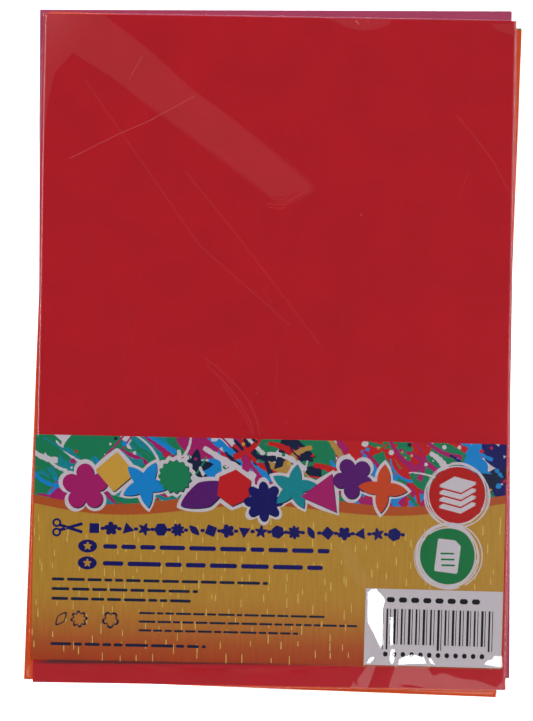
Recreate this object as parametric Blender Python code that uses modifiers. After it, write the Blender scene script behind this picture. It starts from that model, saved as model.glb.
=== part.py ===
"""Shop pack of ten A4 self-adhesive craft foam sheets under a label card, in a clear film bag.

The pack lies flat: X runs across the sheets, Y along them, Z up. The origin is at the middle of the
bag's footprint, on its underside. Lengths are in metres and turns in degrees, anticlockwise from above.
"""

import math

import bmesh
import bpy
from mathutils import Matrix, Vector

# Foam sheets
SHEET_WIDTH = 0.210
SHEET_LENGTH = 0.297
FOAM_THICKNESS = 0.002
FOAM_EDGE_ROUNDING = 0.0002
RELEASE_PAPER_THICKNESS = 0.0001

# Printed label card, placed on the top sheet
LABEL_NARROWER_BY = 0.0008
LABEL_WIDTH = SHEET_WIDTH - LABEL_NARROWER_BY
LABEL_HEIGHT = 0.100
LABEL_THICKNESS = 0.0003
LABEL_FROM_SHEET_END = 0.0095
LABEL_SHIFT_X = -0.00115
LABEL_TURN = -0.30

# Sticker, placed on the label card's lower right corner
STICKER_WIDTH = 0.061
STICKER_HEIGHT = 0.034
STICKER_THICKNESS = 0.0001
STICKER_FROM_LABEL_SIDE = 0.0003
STICKER_FROM_LABEL_END = 0.0007
STICKER_TURN = -0.33

# Clear film bag, pulled tight around everything else
FILM_THICKNESS = 0.00006
FILM_SLACK = 0.0002
FLAP_LENGTH = 0.036
MOUTH_GAP = 0.0005

# Space left between neighbouring layers, so that no two solids touch
LAYER_GAP = 0.00005

# Faces that turn less than this, in radians, count as one flat face
FLAT_WITHIN = 0.00001

# The sheets from the top down: name, colour, shift in X and Y, turn
SHEETS = (
    ("red", (0.60, 0.013, 0.022), 0.0, 0.0, 0.0),
    ("orange", (0.75, 0.115, 0.020), -0.00075, -0.0013, -1.27),
    ("magenta", (0.62, 0.085, 0.250), 0.0, 0.0034, 0.75),
    ("green", (0.030, 0.220, 0.070), -0.0004, -0.0004, -1.20),
    ("violet", (0.160, 0.060, 0.330), 0.0003, -0.0008, -0.10),
    ("yellow", (0.850, 0.560, 0.030), 0.0001, -0.0003, 0.12),
    ("sky_blue", (0.050, 0.330, 0.640), -0.0003, 0.0002, -0.18),
    ("lime", (0.330, 0.600, 0.060), 0.0001, -0.0006, 0.22),
    ("black", (0.020, 0.020, 0.022), -0.0002, 0.0003, -0.08),
    ("white", (0.860, 0.860, 0.850), 0.0002, -0.0001, 0.10),
)

PAPER_COLOUR = (0.82, 0.80, 0.74)
LABEL_COLOUR = (0.46, 0.24, 0.05)
STICKER_COLOUR = (0.80, 0.80, 0.80)
FILM_COLOUR = (0.92, 0.94, 0.96)
FILM_ALPHA = 0.15


def clear_scene():
    for obj in list(bpy.data.objects):
        bpy.data.objects.remove(obj, do_unlink=True)


def new_collection(name):
    collection = bpy.data.collections.new(name)
    bpy.context.scene.collection.children.link(collection)
    return collection


def material(name, colour, roughness, alpha=1.0):
    mat = bpy.data.materials.new(name)
    mat.use_nodes = True
    shader = mat.node_tree.nodes["Principled BSDF"]
    shader.inputs["Base Color"].default_value = (*colour, 1.0)
    shader.inputs["Roughness"].default_value = roughness
    shader.inputs["Metallic"].default_value = 0.0
    shader.inputs["Alpha"].default_value = alpha
    mat.diffuse_color = (*colour, alpha)
    return mat


def add_box(name, size, collection, mat):
    """A box with its middle at its object's origin and its size in its mesh."""
    bpy.ops.mesh.primitive_cube_add(size=1.0)
    box = bpy.context.active_object
    box.name = name
    box.data.name = name
    box.data.transform(Matrix.Diagonal((*size, 1.0)))
    for owner in list(box.users_collection):
        owner.objects.unlink(box)
    collection.objects.link(box)
    box.data.materials.append(mat)
    return box


def place(obj, x, y, z, turn):
    obj.location = (x, y, z)
    obj.rotation_euler = (0.0, 0.0, math.radians(turn))


def round_edges(obj, radius):
    bevel = obj.modifiers.new("rounding", "BEVEL")
    bevel.width = radius
    bevel.segments = 2
    bevel.limit_method = "ANGLE"


def turned(x, y, degrees):
    return Matrix.Rotation(math.radians(degrees), 2) @ Vector((x, y))


def corners(width, length, x, y, turn):
    """The corners of a turned rectangle, seen from above."""
    spots = []
    for across in (-width / 2, width / 2):
        for along in (-length / 2, length / 2):
            spots.append(Vector((x, y)) + turned(across, along, turn))
    return spots


def label_place():
    """Where the label card's middle is, measured from the top sheet's middle."""
    _, _, sheet_x, sheet_y, sheet_turn = SHEETS[0]
    along = -SHEET_LENGTH / 2 + LABEL_FROM_SHEET_END + LABEL_HEIGHT / 2
    spot = Vector((sheet_x, sheet_y)) + turned(LABEL_SHIFT_X, along, sheet_turn)
    return spot.x, spot.y, sheet_turn + LABEL_TURN


def sticker_place():
    """Where the sticker's middle is, measured from the top sheet's middle."""
    label_x, label_y, label_turn = label_place()
    across = LABEL_WIDTH / 2 - STICKER_FROM_LABEL_SIDE - STICKER_WIDTH / 2
    along = -LABEL_HEIGHT / 2 + STICKER_FROM_LABEL_END + STICKER_HEIGHT / 2
    spot = Vector((label_x, label_y)) + turned(across, along, label_turn)
    return spot.x, spot.y, label_turn + STICKER_TURN


def pack_outline():
    """Lowest and highest X and Y of everything that the bag holds, from the top sheet's middle."""
    spots = []
    for _, _, x, y, turn in SHEETS:
        spots += corners(SHEET_WIDTH, SHEET_LENGTH, x, y, turn)
    spots += corners(LABEL_WIDTH, LABEL_HEIGHT, *label_place())
    spots += corners(STICKER_WIDTH, STICKER_HEIGHT, *sticker_place())
    low = Vector((min(s.x for s in spots), min(s.y for s in spots)))
    high = Vector((max(s.x for s in spots), max(s.y for s in spots)))
    return low, high


def build_layers(collection, middle):
    """Sheets with their papers, the label card and the sticker, from the bottom up."""
    z = FILM_THICKNESS + FILM_SLACK
    for name, colour, x, y, turn in reversed(SHEETS):
        paper = add_box(
            "release_paper_" + name,
            (SHEET_WIDTH, SHEET_LENGTH, RELEASE_PAPER_THICKNESS),
            collection,
            material("release_paper_" + name, PAPER_COLOUR, 0.45),
        )
        place(paper, x - middle.x, y - middle.y, z + RELEASE_PAPER_THICKNESS / 2, turn)
        z += RELEASE_PAPER_THICKNESS + LAYER_GAP

        foam = add_box(
            "foam_sheet_" + name,
            (SHEET_WIDTH, SHEET_LENGTH, FOAM_THICKNESS),
            collection,
            material("foam_" + name, colour, 0.75),
        )
        round_edges(foam, FOAM_EDGE_ROUNDING)
        place(foam, x - middle.x, y - middle.y, z + FOAM_THICKNESS / 2, turn)
        z += FOAM_THICKNESS + LAYER_GAP

    label = add_box(
        "label_card",
        (LABEL_WIDTH, LABEL_HEIGHT, LABEL_THICKNESS),
        collection,
        material("label_card", LABEL_COLOUR, 0.4),
    )
    x, y, turn = label_place()
    place(label, x - middle.x, y - middle.y, z + LABEL_THICKNESS / 2, turn)
    z += LABEL_THICKNESS + LAYER_GAP

    sticker = add_box(
        "label_sticker",
        (STICKER_WIDTH, STICKER_HEIGHT, STICKER_THICKNESS),
        collection,
        material("label_sticker", STICKER_COLOUR, 0.5),
    )
    x, y, turn = sticker_place()
    place(sticker, x - middle.x, y - middle.y, z + STICKER_THICKNESS / 2, turn)


def wrap_around(objects, slack):
    """The tightest outward-bulging surface around these objects, with this much room all round."""
    bpy.context.view_layer.update()
    wrap = bmesh.new()
    for obj in objects:
        for corner in obj.bound_box:
            pushed = Vector([side + math.copysign(slack, side) for side in corner])
            wrap.verts.new(obj.matrix_world @ pushed)
    hull = bmesh.ops.convex_hull(wrap, input=wrap.verts)
    inside = set(hull["geom_interior"] + hull["geom_unused"])
    bmesh.ops.delete(wrap, geom=[v for v in inside if v.is_valid], context="VERTS")
    bmesh.ops.dissolve_limit(
        wrap, angle_limit=FLAT_WITHIN, verts=wrap.verts, edges=wrap.edges
    )
    return wrap


def back_faces(wrap):
    return [face for face in wrap.faces if face.normal.z < -1 + FLAT_WITHIN]


def split_back(wrap, y):
    """Cuts only the faces of the bag's back in two, along a line across it."""
    faces = back_faces(wrap)
    edges = [e for e in wrap.edges if any(face in faces for face in e.link_faces)]
    verts = [v for v in wrap.verts if any(face in faces for face in v.link_faces)]
    bmesh.ops.bisect_plane(
        wrap, geom=verts + edges + faces, plane_co=(0, y, 0), plane_no=(0, 1, 0)
    )


def open_mouth(wrap):
    """Takes a narrow strip out of the bag's back, across its whole width, where the flap ends."""
    flap_end = max(v.co.y for v in wrap.verts) - FLAP_LENGTH
    split_back(wrap, flap_end)
    split_back(wrap, flap_end - MOUTH_GAP)
    middle = flap_end - MOUTH_GAP / 2
    strip = [
        face
        for face in back_faces(wrap)
        if abs(face.calc_center_median().y - middle) < MOUTH_GAP / 2
    ]
    bmesh.ops.delete(wrap, geom=strip, context="FACES_ONLY")


def build_sleeve(collection):
    """Thin-walled bag around all the layers, open along its mouth."""
    wrap = wrap_around(list(collection.objects), FILM_SLACK)
    open_mouth(wrap)
    mesh = bpy.data.meshes.new("clear_sleeve")
    wrap.to_mesh(mesh)
    wrap.free()
    sleeve = bpy.data.objects.new("clear_sleeve", mesh)
    collection.objects.link(sleeve)
    mesh.materials.append(material("clear_film", FILM_COLOUR, 0.06, FILM_ALPHA))
    wall = sleeve.modifiers.new("film", "SOLIDIFY")
    wall.thickness = FILM_THICKNESS
    wall.offset = 1.0
    wall.use_even_offset = True


def build_pack():
    clear_scene()
    collection = new_collection("craft_foam_sheet_pack")
    low, high = pack_outline()
    build_layers(collection, (low + high) / 2)
    build_sleeve(collection)


build_pack()
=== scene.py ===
"""Looks of a shop pack of ten craft foam sheets, with their papers, label card, sticker and film bag.

Lengths are in metres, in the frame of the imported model, with +Z up out of the labelled face. Prints and the
film's folds are drawn in millimetres, from the middle of the card or of the sheet that they lie on.
"""

import math
import random

import bmesh
import bpy
from mathutils import Matrix, Vector, noise
from mathutils.bvhtree import BVHTree
from mathutils.geometry import delaunay_2d_cdt
from mathutils.kdtree import KDTree


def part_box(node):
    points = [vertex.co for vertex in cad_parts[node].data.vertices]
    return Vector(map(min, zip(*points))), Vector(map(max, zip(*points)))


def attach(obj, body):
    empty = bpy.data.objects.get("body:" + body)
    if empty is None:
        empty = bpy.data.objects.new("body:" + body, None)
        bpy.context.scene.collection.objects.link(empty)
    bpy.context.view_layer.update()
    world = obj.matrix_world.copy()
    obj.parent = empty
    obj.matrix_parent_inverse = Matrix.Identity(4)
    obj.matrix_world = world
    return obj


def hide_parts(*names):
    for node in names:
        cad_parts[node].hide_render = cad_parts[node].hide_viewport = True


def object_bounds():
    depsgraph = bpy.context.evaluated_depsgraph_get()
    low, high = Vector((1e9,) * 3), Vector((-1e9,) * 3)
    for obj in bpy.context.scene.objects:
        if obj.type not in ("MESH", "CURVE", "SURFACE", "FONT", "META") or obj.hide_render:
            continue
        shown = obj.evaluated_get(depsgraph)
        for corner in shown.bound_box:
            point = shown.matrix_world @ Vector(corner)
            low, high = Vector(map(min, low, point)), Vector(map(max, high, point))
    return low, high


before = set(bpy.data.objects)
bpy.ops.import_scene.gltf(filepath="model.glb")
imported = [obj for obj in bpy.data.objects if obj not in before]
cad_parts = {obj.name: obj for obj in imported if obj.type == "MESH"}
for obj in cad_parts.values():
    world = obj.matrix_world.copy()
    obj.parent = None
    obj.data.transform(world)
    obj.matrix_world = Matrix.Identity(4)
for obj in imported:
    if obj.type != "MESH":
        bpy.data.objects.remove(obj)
cad_low, cad_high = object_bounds()

MM = 0.001

# How bright the studio light makes a white surface on the pack, where the floor shows as plain white, and how
# much a surface's own shine and the film over it add to every colour
LIGHT_ON_PACK = 0.62
VEIL = 0.0075

# The lightest colour that a surface may have, and the white that a cut edge's colour is mixed with
LIGHTEST = 0.92
NEAR_WHITE = 0.9

# Foam sheets from the top down, with the colour that each shows in that light
FOAM_COLOURS = {
    "red": (166, 29, 38),
    "orange": (200, 78, 30),
    "magenta": (167, 69, 103),
    "green": (30, 118, 74),
    "violet": (104, 62, 140),
    "yellow": (205, 165, 40),
    "sky_blue": (60, 140, 190),
    "lime": (130, 175, 60),
    "black": (30, 30, 32),
    "white": (202, 200, 200),
}
SHEET_WIDTH = 0.210
SHEET_LENGTH = 0.297
FOAM_EDGE_ROUNDING = 0.00028
PORE_SIZE = 0.0004

# Side of the square cells that let a sheet bend
SHEET_CELL = 0.005

# The pattern that is ruled on the release papers
RULED_SQUARE = 0.010
RULED_LINE = 0.00025

# How far the whole pack has sagged and swelled out of true, at its top
SETTLE = 0.00035

# Printed faces, in millimetres: their grid's cells, how near two points become one, and how much room the
# grid's points leave an outline
CARD_CELL = 7.0
PRINT_MERGE = 1e-5
GRID_CLEARANCE = 0.5

# What a face is divided into: triangles, and only inside its outlines
TRIANGLES_INSIDE = 1

# Printing inks, with the colour that each shows in the studio light
INKS = {
    "board": (190, 184, 188),
    "white": (181, 173, 179),
    "blue": (0, 118, 182),
    "teal": (8, 118, 128),
    "green": (26, 112, 76),
    "magenta": (146, 28, 92),
    "red": (172, 28, 32),
    "navy": (12, 16, 86),
    "slate": (14, 30, 56),
    "ochre": (160, 122, 62),
    "violet": (78, 24, 96),
    "orange": (176, 64, 34),
    "yellow": (182, 140, 56),
    "rust": (158, 74, 36),
    "gold": (164, 124, 48),
    "fleck": (188, 164, 92),
    "badge_red": (160, 26, 24),
    "badge_green": (18, 104, 58),
}

# Film bag. Its edge is a list of insets from the side and drops from the lid. One ring of the edge's faces,
# counted from 0 at the lid, catches the light.
FILM_THICKNESS = 0.00005
FILM_IOR = 1.5
FILM_GLOSS_LIMIT = 0.09
FILM_ROUGHNESS = 0.09
FILM_CELL = 2.5
FILM_EDGE = (
    (0.00090, 0.0), (0.00087, 0.00001), (0.00050, 0.00022), (0.00040, 0.00028), (0.00015, 0.00050),
    (0.00003, 0.00068), (0.0, 0.00090),
)
CATCH_LIGHT_ROW = 2
SIDE_ROWS = 7
FILM_PUSH = 0.00015
FILM_CRINKLE = 0.00018
WELD_HEIGHT = 0.009
WELD_WIDTH = 0.0005
WELD_GAP = 0.0001
WELD_WAVE = 0.0004

# The bag's flap. The pack's width is taken this far in from the fold.
FLAP_LENGTH = 0.036
FLAP_CELLS = 36
FLAP_SIDE_GAP = 0.0008
FLAP_CLEARANCE = 0.00001
FLAP_DROOP = 0.0006
WIDTH_TAKEN_FROM_FOLD = 0.004
GLUE_FROM_FLAP_END = 0.004
GLUE_HEIGHT = 0.006

# The film's relief, and how far the broad fold's soft edge reaches to either side, in millimetres
FILM_RELIEF = 0.05
BROAD_FOLD_SOFTNESS = 0.6

# A distance from the middle that is well outside the pack, and a share of the way out that counts as none
OUTSIDE = 0.4
AT_MIDDLE = 1e-6

# Camera, straight above the pack, as far off as lets the picture's height take in this much of the top sheet
CAMERA_DISTANCE = 1.6
VIEW_HEIGHT = 0.3201
SENSOR = 36.0
CAMERA_ROLL = math.radians(0.95)
CAMERA_AIM = Vector((-0.00360, -0.00398))

red_low, red_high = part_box("foam_sheet_red")
RED_MIDDLE = Vector(((red_low.x + red_high.x) / 2, (red_low.y + red_high.y) / 2))
PACK_HEIGHT = cad_high.z


def as_base_colour(shown):
    """The surface's own colour, from the 0 to 255 colour that it shows in the studio light."""
    linear = [((c / 255 + 0.055) / 1.055) ** 2.4 if c > 10 else c / 255 / 12.92 for c in shown]
    return tuple(min(LIGHTEST, max(0.0, c - VEIL) / LIGHT_ON_PACK) for c in linear)


def toward_white(colour, share):
    return tuple(c + (NEAR_WHITE - c) * share for c in colour)


def scaled(colour, factor):
    return tuple(min(1.0, c * factor) for c in colour)


# Making and finishing pieces


def add_grid(name, width, length, cell):
    """A flat grid of square cells about this large, with its middle at the origin."""
    bpy.ops.object.select_all(action="DESELECT")
    bpy.ops.mesh.primitive_grid_add(
        x_subdivisions=round(width / cell), y_subdivisions=round(length / cell), size=1.0
    )
    grid = bpy.context.active_object
    grid.name = name
    grid.data.name = name
    grid.data.transform(Matrix.Diagonal((width, length, 1.0, 1.0)))
    return grid


def select_only(obj):
    bpy.ops.object.select_all(action="DESELECT")
    obj.select_set(True)
    bpy.context.view_layer.objects.active = obj


def apply_modifiers(obj):
    select_only(obj)
    for modifier in list(obj.modifiers):
        bpy.ops.object.modifier_apply(modifier=modifier.name)


def give_thickness(obj, thickness, even=True, rim_material=0, back_material=0):
    """Thickness below a face, with the materials of its rim and back counted on from the face's own."""
    wall = obj.modifiers.new("thickness", "SOLIDIFY")
    wall.thickness = thickness
    wall.offset = -1.0
    wall.use_even_offset = even
    wall.material_offset_rim = rim_material
    wall.material_offset = back_material


def shade(obj, degrees):
    """Smooth shading, with every edge left sharp that turns more than this."""
    select_only(obj)
    bpy.ops.object.shade_smooth_by_angle(angle=math.radians(degrees))


def settled_height(spot):
    """Where a point of the pack comes to lie once the pack has sagged, with the floor side flat."""
    x, y = spot.x, spot.y
    swell = 0.55 * math.sin(19 * x + 0.8) * math.cos(13 * y - 0.4)
    swell += 0.45 * math.sin(7 * x - 11 * y + 2.0)
    return spot.z + SETTLE * swell * max(0.0, spot.z) / PACK_HEIGHT


def settle(obj):
    for vert in obj.data.vertices:
        vert.co.z = settled_height(vert.co)


def flat_place(node):
    """Where a flat node lies: its middle, its lowest and highest Z, and its turn seen from above."""
    low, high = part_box(node)
    spots = [vert.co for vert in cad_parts[node].data.vertices]
    far = max(spots, key=lambda spot: spot.x + spot.y)
    near = max(spots, key=lambda spot: spot.x - spot.y)
    turn = math.atan2(near.x - far.x, far.y - near.y)
    return Vector(((low.x + high.x) / 2, (low.y + high.y) / 2)), low.z, high.z, turn


def put_in_place(obj, middle, z, turn):
    obj.data.transform(Matrix.Translation((middle.x, middle.y, z)) @ Matrix.Rotation(turn, 4, "Z"))


def declare(obj, node):
    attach(obj, "root")
    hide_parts(node)


# Materials


def set_values(node, values):
    for socket, value in values.items():
        node.inputs[socket].default_value = value


def new_material(name, colour, roughness, specular=0.5):
    mat = bpy.data.materials.new(name)
    mat.use_nodes = True
    shader = mat.node_tree.nodes["Principled BSDF"]
    look = {"Base Color": (*colour, 1.0), "Roughness": roughness, "Specular IOR Level": specular}
    set_values(shader, look)
    return mat, shader


def add_node(owner, kind, values=None, **settings):
    """A node of a material or of the world, with its settings and the values of its sockets."""
    node = owner.node_tree.nodes.new(kind)
    for name, value in settings.items():
        setattr(node, name, value)
    set_values(node, values or {})
    return node


def link(owner, source, target):
    owner.node_tree.links.new(source, target)


def object_coordinates(mat):
    return add_node(mat, "ShaderNodeTexCoord").outputs["Object"]


def noise_texture(mat, coordinates, scale, detail=2.0, roughness=0.5):
    values = {"Scale": scale, "Detail": detail, "Roughness": roughness}
    texture = add_node(mat, "ShaderNodeTexNoise", values)
    link(mat, coordinates, texture.inputs["Vector"])
    return texture.outputs["Fac"]


def pore_texture(mat, coordinates):
    texture = add_node(mat, "ShaderNodeTexVoronoi", {"Scale": 1 / PORE_SIZE}, feature="F1")
    link(mat, coordinates, texture.inputs["Vector"])
    return texture.outputs["Distance"]


def map_range(owner, value, before, after, fade="LINEAR"):
    """A value carried over from one range to another."""
    ends = dict(zip(("From Min", "From Max", "To Min", "To Max"), before + after))
    node = add_node(owner, "ShaderNodeMapRange", ends, interpolation_type=fade)
    link(owner, value, node.inputs["Value"])
    return node.outputs["Result"]


def colour_ramp(mat, share, stops):
    """Colour that runs from stop to stop, each of them a share from 0 to 1 and a colour."""
    ramp = add_node(mat, "ShaderNodeValToRGB")
    elements = ramp.color_ramp.elements
    for end, (position, colour) in ((0, stops[0]), (1, stops[-1])):
        elements[end].position = position
        elements[end].color = (*colour, 1.0)
    for position, colour in stops[1:-1]:
        elements.new(position).color = (*colour, 1.0)
    link(mat, share, ramp.inputs["Fac"])
    return ramp.outputs["Color"]


def mottle(mat, shader, share, colour, darker, lighter):
    """Colour that wanders between a darker and a lighter shade of one colour."""
    stops = ((0.3, scaled(colour, darker)), (0.7, scaled(colour, lighter)))
    link(mat, colour_ramp(mat, share, stops), shader.inputs["Base Color"])


def bump(mat, height, distance, strength, below=None):
    node = add_node(mat, "ShaderNodeBump", {"Strength": strength, "Distance": distance})
    link(mat, height, node.inputs["Height"])
    if below is not None:
        link(mat, below, node.inputs["Normal"])
    return node.outputs["Normal"]


def foam_skin(name, colour):
    """Closed-cell foam with its thin moulded skin: matt, faintly mottled, with very fine pores."""
    mat, shader = new_material("foam_skin_" + name, colour, 0.62, 0.15)
    set_values(shader, {"Sheen Weight": 0.05, "Sheen Roughness": 0.5})
    coordinates = object_coordinates(mat)
    mottle(mat, shader, noise_texture(mat, coordinates, 45.0, 4.0), colour, 0.96, 1.05)
    pores = bump(mat, pore_texture(mat, coordinates), 0.00003, 0.35)
    skin = bump(mat, noise_texture(mat, coordinates, 700.0), 0.00004, 0.3, pores)
    link(mat, skin, shader.inputs["Normal"])
    return mat


def foam_cut_edge(name, colour):
    """The same foam where the die cut it: lighter and rougher, with its cells open."""
    edge_colour = toward_white(colour, 0.10)
    mat, shader = new_material("foam_cut_" + name, edge_colour, 0.85, 0.2)
    coordinates = object_coordinates(mat)
    pores = pore_texture(mat, coordinates)
    mottle(mat, shader, pores, edge_colour, 0.80, 1.12)
    link(mat, bump(mat, pores, 0.00012, 0.8), shader.inputs["Normal"])
    return mat


# Foam sheets and their release papers


def add_slab(name, node, rounding, cell=SHEET_CELL):
    """A sheet where its node lies, gridded finely enough to bend with the pack."""
    middle, low, high, turn = flat_place(node)
    slab = add_grid(name, SHEET_WIDTH, SHEET_LENGTH, cell)
    give_thickness(slab, high - low, rim_material=1)
    if rounding:
        soft_edge = slab.modifiers.new("soft_edge", "BEVEL")
        soft_edge.width = rounding
        soft_edge.segments = 3
        soft_edge.limit_method = "ANGLE"
        soft_edge.angle_limit = math.radians(60)
    apply_modifiers(slab)
    put_in_place(slab, middle, high, turn)
    settle(slab)
    return slab


def build_foam_sheet(name, shown):
    colour = as_base_colour(shown)
    sheet = add_slab(name + "_foam", "foam_sheet_" + name, FOAM_EDGE_ROUNDING)
    sheet.data.materials.append(foam_skin(name, colour))
    sheet.data.materials.append(foam_cut_edge(name, colour))
    shade(sheet, 40)
    declare(sheet, "foam_sheet_" + name)


def release_paper_material():
    """Silicone-coated backing paper: off-white satin with a pale ruled grid."""
    colour = (0.72, 0.70, 0.64)
    mat, shader = new_material("release_paper", colour, 0.42)
    coordinates = object_coordinates(mat)
    ruled = add_node(mat, "ShaderNodeTexBrick", offset=0.0)
    set_values(ruled, {
        "Color1": (*colour, 1.0),
        "Color2": (*scaled(colour, 0.98), 1.0),
        "Mortar": (0.52, 0.57, 0.60, 1.0),
        "Scale": 1.0,
        "Mortar Size": RULED_LINE,
        "Brick Width": RULED_SQUARE,
        "Row Height": RULED_SQUARE,
    })
    link(mat, coordinates, ruled.inputs["Vector"])
    link(mat, ruled.outputs["Color"], shader.inputs["Base Color"])
    fibres = noise_texture(mat, coordinates, 900.0, 3.0)
    link(mat, bump(mat, fibres, 0.00002, 0.3), shader.inputs["Normal"])
    return mat


def build_release_paper(name, mat):
    paper = add_slab(name + "_release_paper", "release_paper_" + name, 0.0, 2 * SHEET_CELL)
    paper.data.materials.append(mat)
    shade(paper, 40)
    declare(paper, "release_paper_" + name)


def build_sheets():
    paper_material = release_paper_material()
    for name, shown in reversed(FOAM_COLOURS.items()):
        build_release_paper(name, paper_material)
        build_foam_sheet(name, shown)


# Outlines of printed shapes, in millimetres from the middle of their card


def polar(centre, radii, turn=0.0):
    step = 2 * math.pi / len(radii)
    return [
        (centre[0] + r * math.cos(i * step + turn), centre[1] + r * math.sin(i * step + turn))
        for i, r in enumerate(radii)
    ]


def disc(centre, radius, points=28):
    return polar(centre, [radius] * points)


def oval(centre, width, height):
    return [(centre[0] + x * width / 2, centre[1] + y * height / 2) for x, y in disc((0, 0), 1.0)]


def bar(left, right, v, height):
    """A bar with blunt round ends, as a word looks from far away."""
    half = height / 2
    nip = min(half, (right - left) / 2) * 0.6
    return [
        (left, v - half + nip), (left + nip, v - half), (right - nip, v - half), (right, v - half + nip),
        (right, v + half - nip), (right - nip, v + half), (left + nip, v + half), (left, v + half - nip),
    ]


def page_outline(centre, width, height, corner, turn):
    """A page with round corners, turned about its middle."""
    points = []
    for quarter, (sx, sy) in enumerate([(1, 1), (-1, 1), (-1, -1), (1, -1)]):
        for step in range(4):
            angle = (quarter + step / 3) * math.pi / 2
            x = sx * (width / 2 - corner) + corner * math.cos(angle)
            y = sy * (height / 2 - corner) + corner * math.sin(angle)
            points.append(Matrix.Rotation(turn, 2) @ Vector((x, y)) + Vector(centre))
    return [tuple(point) for point in points]


def cut_out(centre, radius, kind, turn, grow=0.0, points=60):
    """One of the shapes below, at this size and turn, with a margin if it grows."""
    return polar(centre, [radius * kind(2 * math.pi * i / points) + grow for i in range(points)], turn)


def straight_sided(sides):
    part = 2 * math.pi / sides
    return lambda angle: math.cos(part / 2) / math.cos((angle + part / 2) % part - part / 2)


def star(tips, waist):
    return lambda angle: waist + (1 - waist) * abs(1 - 2 * (angle * tips / 2 / math.pi % 1)) ** 1.3


def blossom(petals, waist):
    return lambda angle: waist + (1 - waist) * abs(math.cos(petals * angle / 2)) ** 0.75


def leaf(angle):
    return (abs(math.cos(angle)) ** 1.35 + abs(math.sin(angle) / 0.5) ** 1.35) ** (-1 / 1.35)


def pinked_disc(angle):
    return 0.93 + 0.07 * math.cos(15 * angle)


def ribbon(route, width):
    """The outline of a flat strip along a route, cut square at its ends."""
    left, right = [], []
    for i, spot in enumerate(route):
        ahead = route[min(i + 1, len(route) - 1)]
        behind = route[max(i - 1, 0)]
        run = Vector((ahead[0] - behind[0], ahead[1] - behind[1])).normalized()
        half = width(i / (len(route) - 1)) / 2 if callable(width) else width / 2
        left.append((spot[0] - run.y * half, spot[1] + run.x * half))
        right.append((spot[0] + run.y * half, spot[1] - run.x * half))
    return left + right[::-1]


# The kinds of cut-out: how far each reaches at an angle, from 0 to 1
DISC = pinked_disc
STAR = star(5, 0.46)
SPARK = star(4, 0.36)
SQUARE = straight_sided(4)
TRIANGLE = straight_sided(3)
HEXAGON = straight_sided(6)
BLOSSOM = blossom(5, 0.62)
DAISY = blossom(8, 0.6)
LEAF = leaf


def word_bars(left, right, v, height, rng):
    """A line of type as it looks from far away: one bar for each word."""
    bars = []
    spot = left
    while spot < right - height:
        end = min(right, spot + height * rng.uniform(2.5, 8.0))
        bars.append(bar(spot, end, v, height))
        spot = end + height * 0.9
    return bars


# Prints of the label card and the sticker

LABEL_HALF_WIDTH = 104.6
LABEL_HALF_HEIGHT = 50.0
STICKER_SIZE = (61.0, 34.0)
CUTTING_LINE = 8.9
RIBBONS = 130
RIBBON_STEPS = 12
SNIPS = 150
FLECK_COLUMNS = 23
FLECK_ROWS = 12
RING_STEPS = 49

# Inks of the coloured band, each row with the place across the card where it starts
BAND_INKS = (
    (-math.inf, ("blue", "green", "teal", "blue", "green", "magenta", "white")),
    (-45, ("magenta", "green", "red", "blue", "magenta", "slate", "white")),
    (5, ("ochre", "red", "ochre", "green", "magenta", "slate", "white")),
    (32, ("magenta", "red", "green", "magenta", "blue", "red", "white")),
    (84, ("navy", "slate", "navy", "green", "navy", "blue", "white")),
)

# Lines of small print: height on the card, left and right end, and thickness
SMALL_PRINT = (
    (-14.0, -96, 0, 1.3), (-18.3, -96, -31, 1.3), (-22.6, -96, -34, 1.3), (-28.3, -57, 26, 0.95),
    (-32.1, -57, 40, 0.95), (-36.0, -57, 14, 0.95), (-42.7, -96, -27, 1.3),
)

# Badges at the card's right
RED_BADGE = (83.2, 27.0)
GREEN_BADGE = (79.5, -0.1)
BADGE_RADIUS = 12.6
LOOP_RADIUS = 12.2

# The gold ground: how far up from the card's lower edge to its middle, and the colour there
GOLD_STOPS = ((0.0, (152, 58, 32)), (0.16, (155, 76, 38)), (0.34, (160, 102, 45)), (0.58, (164, 121, 48)))


def band_ink(u, rng, with_white=True):
    """Cooler inks to the left of the band, warmer ones in its middle, darker ones to its right."""
    inks = [choice for start, choice in BAND_INKS if u >= start][-1]
    return rng.choice(inks if with_white else inks[:-1])


def any_turn(rng):
    return rng.uniform(0, 6.28)


def band_edge(u):
    """Height of the coloured band's lower edge."""
    return 24.4 + 3.4 * math.sin(0.046 * u + 1.9) + 1.8 * math.sin(0.019 * u - 0.9)


def below_edge(drop):
    """Everything on the card that lies this far below the coloured band's lower edge."""
    steps = [LABEL_HALF_WIDTH * (i / 30 - 1) for i in range(61)]
    edge = [(u, band_edge(u) - drop(u)) for u in steps]
    return [(-LABEL_HALF_WIDTH, -LABEL_HALF_HEIGHT), (LABEL_HALF_WIDTH, -LABEL_HALF_HEIGHT)] + edge[::-1]


def snipped(wide):
    """How wide a ribbon is along its length: snipped in little steps, and narrower towards its end."""
    return lambda share: wide * (1.0 + 0.3 * (round(share * RIBBON_STEPS) % 2)) * (1.0 - 0.5 * share)


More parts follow.
